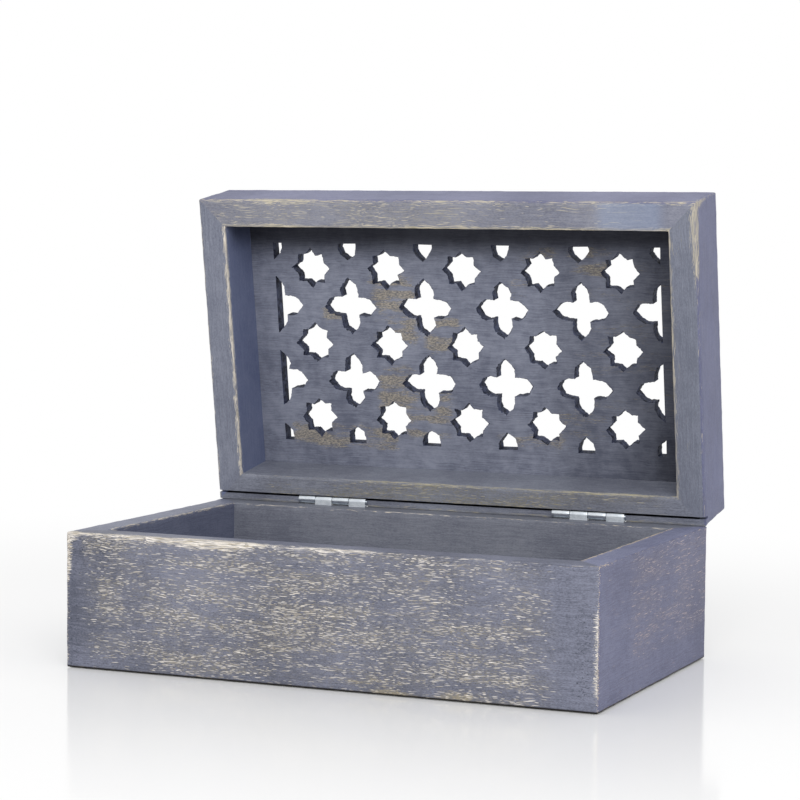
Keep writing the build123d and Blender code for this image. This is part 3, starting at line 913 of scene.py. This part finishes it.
# Patches on its inside that are rubbed through: two corners seen from above, fade and share
fret_rubs = [((-42, -28), (-28, -6), 12.0, 1.6), ((-16, -9), (-4, 3), 9.0, 1.4),
             ((-42, 16), (-30, 40), 10.0, 1.5), ((-28, 22), (-12, 43), 11.0, 1.4),
             ((-92, 46), (-40, 51), 8.0, 1.4), ((20, 38), (48, 50), 11.0, 0.9),
             ((33, -50), (48, -44), 8.0, 0.9), ((28, -30), (40, -24), 8.0, 0.8),
             ((-72, -16), (-64, -10), 7.0, 1.2), ((50, 34), (70, 42), 9.0, 0.8),
             ((60, -46), (76, -37), 8.0, 1.3), ((60, -40), (112, 30), 16.0, 0.7)]
fret_inner_low, fret_inner_high = 80, 94
# Its hollow, the saw cuts, is darkened to near black with painted shade (dim)
fret_wear = worn(face=[((-96, -46, 90), (96, 46, 99), 26.0, 0.65)], rim=0.3, inside=0.1, arris=-9.0,
                 rim_arris=-9.0, streak=5.0, fine=0.3, dim=1.0, haze="#6f6c69",
                 rubs=[((*low, fret_inner_low), (*high, fret_inner_high), fade, share)
                       for low, high, fade, share in fret_rubs],
                 # Painted shadows of the rails: a dark band under the front rail, and the right part of the
                 # board and its far corner darkened beside the right rail
                 shaded=[((-130, -68, 80), (130, -55, 94), 15.0, 0.84),
                         ((105, -70, 80), (130, 70, 94), 60.0, 0.6),
                         ((60, -70, 80), (130, 70, 94), 30.0, 0.25),
                         ((100, 44, 80), (130, 70, 94), 20.0, 0.7)],
                 specked=0.4, cloudy=1.0, shine=0.08, deep="#6a6e7e", plain="#9296a5", tan="#b8ad9a",
                 grime="#0e1428", shade="#15141a")


# Milk paint that ran thick into the saw cuts and was never rubbed back, darkened further with
# painted shade of the narrow openings: near navy and blotched, with the marks of the blade across it
run_blotch = 3.0
blade_length, blade_width = 8.0, 0.6
side_on = 0.9


def measured(tree):
    """Where a point lies, in millimetres."""
    where = add(tree, "TexCoord")
    return add(tree, "VectorMath", {"operation": "SCALE", "Scale": 1 / mm}, {0: where.outputs["Object"]})


def paint_and_shade_in_saw_cuts(name):
    """The paint and painted shade on the walls of the sawn openings."""
    material = blank_material(name)
    tree = material.node_tree
    place = measured(tree)
    blotch = add(tree, "TexNoise", {"Scale": 1 / run_blotch, "Detail": 4.0, "Roughness": 0.65},
                 {"Vector": place})
    blade = grained(tree, place, 1, blade_length, blade_width, 2.0)
    tone = add(tree, "MapRange", {"From Min": 0.38, "From Max": 0.62}, {"Value": blotch.outputs["Fac"]})
    paint = add(tree, "Mix", {"data_type": "RGBA", first_colour: linear("#171b2b"),
                              second_colour: linear("#4b5169")}, {0: tone})
    relief = add(tree, "Bump", {"Distance": mm, "Strength": 0.1}, {"Height": blade})
    shader = add(tree, "BsdfPrincipled", {"IOR": 1.5, "Specular IOR Level": 0.1, "Roughness": 0.6},
                 {"Base Color": paint.outputs[mixed_colour], "Normal": relief})
    add(tree, "OutputMaterial", {}, {"Surface": shader})
    return material


def sawn(face):
    at = face.calc_center_median()
    amid = abs(at.x) < fret_high.x - wall / 2 and abs(at.y) < fret_high.y - wall / 2
    return amid and abs(face.normal.z) < side_on


fret.data.materials.append(
    rubbed_paint("rubbed_milk_paint_fretwork", fret_low, fret_high, False, 0, fret_wear, True))
fret.data.materials.append(paint_and_shade_in_saw_cuts("milk_paint_and_shade_in_saw_cuts"))
only(fret)
bpy.ops.object.mode_set(mode="EDIT")
pick(fret, "faces", sawn)
fret.active_material_index = 1
bpy.ops.object.material_slot_assign()
bpy.ops.object.mode_set(mode="OBJECT")
swing_open(fret)
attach(fret, "lid")
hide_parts("lid_fretwork_board")


# Hinges: two small butt hinges of zinc plated sheet steel, each leaf rolled round the pin into
# every second knuckle. The leaves are pushed into the saw slots, and two brads hold each of them.
knuckle_count = 4
knuckle_gap = 0.3 * mm
leaf_relief = 0.3 * mm
roll_angle = radians(298)
roll_steps = 22
roll_smooth = radians(35)
leaf_arris = 0.08 * mm
leaf_arris_angle = radians(50)
pin_dome = 0.25 * mm
pin_sides = 32


def hinge_leaf(name, low, high, own_first, upwards):
    """A leaf as on the shut box: a plate whose own knuckles are spun round the hinge line."""
    way = 1 if upwards else -1
    tip_z = 2 * axis_z - low.z if upwards else low.z
    edge_z = axis_z + way * (barrel_radius + leaf_relief)
    plate_low = Vector((low.x, leaf_front_y, min(tip_z, edge_z)))
    plate_high = Vector((high.x, leaf_front_y + leaf_thickness, max(tip_z, edge_z)))
    leaf = block(name, plate_low, plate_high)
    pitch = (high.x - low.x) / knuckle_count
    bpy.ops.object.mode_set(mode="EDIT")
    for number in range(knuckle_count):
        for end in (knuckle_gap / 2, pitch - knuckle_gap / 2):
            bpy.ops.mesh.select_all(action="SELECT")
            bpy.ops.mesh.bisect(plane_co=(low.x + number * pitch + end, 0, 0), plane_no=(1, 0, 0))

    def own_edge(face):
        place = (face.calc_center_median().x - low.x) / pitch
        inside = abs(place % 1 - 0.5) < 0.5 - knuckle_gap / pitch / 2
        return inside and (int(place) % 2 == 0) == own_first and near(face.calc_center_median().z, edge_z)

    pick(leaf, "faces", own_edge)
    bpy.ops.mesh.extrude_region_move(
        TRANSFORM_OT_translate={"value": (0, 0, -way * (barrel_radius + leaf_relief))})
    bpy.ops.mesh.spin(steps=roll_steps, angle=-way * roll_angle, center=(0, axis_y, axis_z), axis=(1, 0, 0))
    bpy.ops.mesh.select_all(action="SELECT")
    bpy.ops.mesh.remove_doubles(threshold=leaf_arris / 8)
    bpy.ops.mesh.normals_make_consistent(inside=False)
    bpy.ops.object.mode_set(mode="OBJECT")
    ease = leaf.modifiers.new("ease", "BEVEL")
    ease.width = leaf_arris
    ease.segments = 2
    ease.limit_method = "ANGLE"
    ease.angle_limit = leaf_arris_angle
    apply_last(leaf)
    bpy.ops.object.shade_smooth_by_angle(angle=roll_smooth)
    return leaf


def hinge_pin(name, low, high):
    """A plain wire pin with its ends rounded over."""
    bpy.ops.object.select_all(action="DESELECT")
    bpy.ops.mesh.primitive_cylinder_add(vertices=pin_sides, radius=(high.z - low.z) / 2,
                                        depth=high.x - low.x, location=(low + high) / 2,
                                        rotation=(0, pi / 2, 0))
    pin = bpy.context.object
    pin.name = name
    bpy.ops.object.transform_apply(location=True, rotation=True, scale=True)
    bpy.ops.object.mode_set(mode="EDIT")
    pick(pin, "faces", lambda face: abs(face.normal.x) > square_on)
    bpy.ops.mesh.bevel(offset=pin_dome, segments=3, affect="EDGES")
    bpy.ops.object.mode_set(mode="OBJECT")
    bpy.ops.object.shade_smooth_by_angle(angle=roll_smooth)
    return pin


# Zinc plate over mild steel, left bright: slightly milky and clouded, with faint rolling lines
# along the sheet
rolling_length, rolling_width = 6.0, 0.15
zinc_cloud = 2.5


def zinc_plate(name, tone, dull, roughness):
    """A bright metal that is clouded between two tones."""
    material = blank_material(name)
    tree = material.node_tree
    place = measured(tree)
    lines = grained(tree, place, 0, rolling_length, rolling_width, 2.0)
    cloud = add(tree, "TexNoise", {"Scale": 1 / zinc_cloud, "Detail": 3.0}, {"Vector": place})
    shade = add(tree, "Mix", {"data_type": "RGBA", first_colour: linear(tone), second_colour: linear(dull)},
                {0: cloud.outputs["Fac"]})
    rough = add(tree, "MapRange", {"To Min": roughness, "To Max": roughness + 0.2}, {"Value": lines})
    relief = add(tree, "Bump", {"Distance": mm, "Strength": 0.02}, {"Height": lines})
    shader = add(tree, "BsdfPrincipled", {"Metallic": 1.0},
                 {"Base Color": shade.outputs[mixed_colour], "Roughness": rough,
                  "Normal": relief})
    add(tree, "OutputMaterial", {}, {"Surface": shader})
    return material


zinc = zinc_plate("zinc_plated_steel", "#eef2f6", "#b8c1ca", 0.2)
for side in ("left", "right"):
    low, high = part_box(side + "_hinge_base_leaf")
    base_leaf = hinge_leaf(side + "_rolled_base_leaf", low, high, False, False)
    lid_leaf = hinge_leaf(side + "_rolled_lid_leaf", low, high, True, True)
    swing_open(lid_leaf)
    pin = hinge_pin(side + "_wire_pin", *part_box(side + "_hinge_pin"))
    parts = ((base_leaf, "base_leaf", "base"), (lid_leaf, "lid_leaf", "lid"), (pin, "pin", "base"))
    for piece, node, body in parts:
        piece.data.materials.append(zinc)
        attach(piece, body)
        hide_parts(f"{side}_hinge_{node}")


# Brads: small nails of bright drawn steel wire, driven across the mitres, through the hinge leaves
# and up through the bottom board. Little more than their heads shows, so they stay as in the CAD.
brad_steel = zinc_plate("drawn_wire_steel", "#9a9da0", "#7d8286", 0.35)
for group in ("base_corner", "bottom_board", "hinge_base", "lid_corner", "hinge_lid"):
    brads = frame["nodes"][group + "_brads"]
    brads.data.materials.clear()
    brads.data.materials.append(brad_steel)


# Floor: a wide white board. Near the box it has more gloss, which gives back a soft reflection,
# and farther out the camera sees plain white, so that the board runs into the background.
floor_size = 8
gloss_reach = 230.0
white_reach = 500.0
far_gloss, near_gloss = 0.10, 0.31
gloss_roughness = 0.1
glow = 0.08
board_white, full_white = "#f3f3f3", "#ffffff"


def looked_at(tree):
    """One for a ray from the camera, or one that metal or glass sends on to what it shows."""
    path = add(tree, "LightPath")
    seen = add(tree, "Math", greatest,
               {0: path.outputs["Is Camera Ray"], 1: path.outputs["Is Glossy Ray"]})
    return add(tree, "Math", greatest, {0: seen, 1: path.outputs["Is Transmission Ray"]})


bpy.ops.object.select_all(action="DESELECT")
bpy.ops.mesh.primitive_plane_add(size=floor_size, location=(0, 0, 0))
floor = bpy.context.object
floor.name = "floor"
material = blank_material("floor_sheet")
tree = material.node_tree
place = measured(tree)
foot = (list(base_low / mm), [base_high.x / mm, base_high.y / mm, 0.0])
nearness = within(tree, place, *foot, gloss_reach)
sheen = add(tree, "MapRange", {"To Min": far_gloss, "To Max": near_gloss}, {"Value": nearness})
white = add(tree, "BsdfDiffuse", {"Color": linear(board_white)})
gloss = add(tree, "BsdfGlossy", {"Color": linear(full_white), "Roughness": gloss_roughness})
mixed = add(tree, "MixShader", {}, {0: sheen, 1: white, 2: gloss})
lift = add(tree, "Emission", {"Strength": glow})
lifted = add(tree, "AddShader", {}, {0: mixed, 1: lift})
paper = add(tree, "Emission", {"Strength": 1.0})
near_box = within(tree, place, *foot, white_reach)
seen = add(tree, "MixShader", {}, {0: near_box, 1: paper, 2: lifted})
total = add(tree, "MixShader", {}, {0: looked_at(tree), 1: white, 2: seen})
add(tree, "OutputMaterial", {}, {"Surface": total})
floor.data.materials.append(material)


# Light: an evenly white room, which lights the box a little less than it shows, and one large soft
# lamp in front of the box, above it and to its right
room_strength = 0.8
world = bpy.data.worlds.new("studio")
bpy.context.scene.world = world
world.use_nodes = True
tree = world.node_tree
tree.nodes.clear()
strength = add(tree, "MapRange", {"To Min": room_strength, "To Max": 1.0}, {"Value": looked_at(tree)})
back = add(tree, "Background", {"Color": linear(full_white)}, {"Strength": strength})
add(tree, "OutputWorld", {}, {"Surface": back})

lamp_place = Vector((0.75, -1.5, 1.05))
lamp_aim = Vector((0, 0, 0.1))
lamp_width, lamp_height = 1.2, 1.0
lamp_power = 14
lamp = bpy.data.lights.new("softbox", "AREA")
lamp.shape = "RECTANGLE"
lamp.size = lamp_width
lamp.size_y = lamp_height
lamp.energy = lamp_power
softbox = bpy.data.objects.new("softbox", lamp)
bpy.context.scene.collection.objects.link(softbox)
softbox.location = lamp_place
softbox.rotation_euler = (lamp_aim - lamp_place).to_track_quat("-Z", "Y").to_euler()


# Camera: where a fit of the box's corners puts the photograph's, with a long lens, a little to the
# right of the box and a little above it
lens = 115.6
sensor_width = 36
azimuth = radians(23.528)
elevation = radians(4.152)
roll = radians(0.483)
camera_place = (0.46946, -1.07013, 0.20590)
camera = bpy.data.cameras.new("camera")
camera.lens = lens
camera.sensor_width = sensor_width
view = bpy.data.objects.new("camera", camera)
bpy.context.scene.collection.objects.link(view)
turn = Matrix.Rotation(azimuth, 4, "Z") @ Matrix.Rotation(pi / 2 - elevation, 4, "X")
view.matrix_world = Matrix.Translation(camera_place) @ turn @ Matrix.Rotation(roll, 4, "Z")
bpy.context.scene.camera = view
bpy.context.scene.view_settings.view_transform = "Standard"
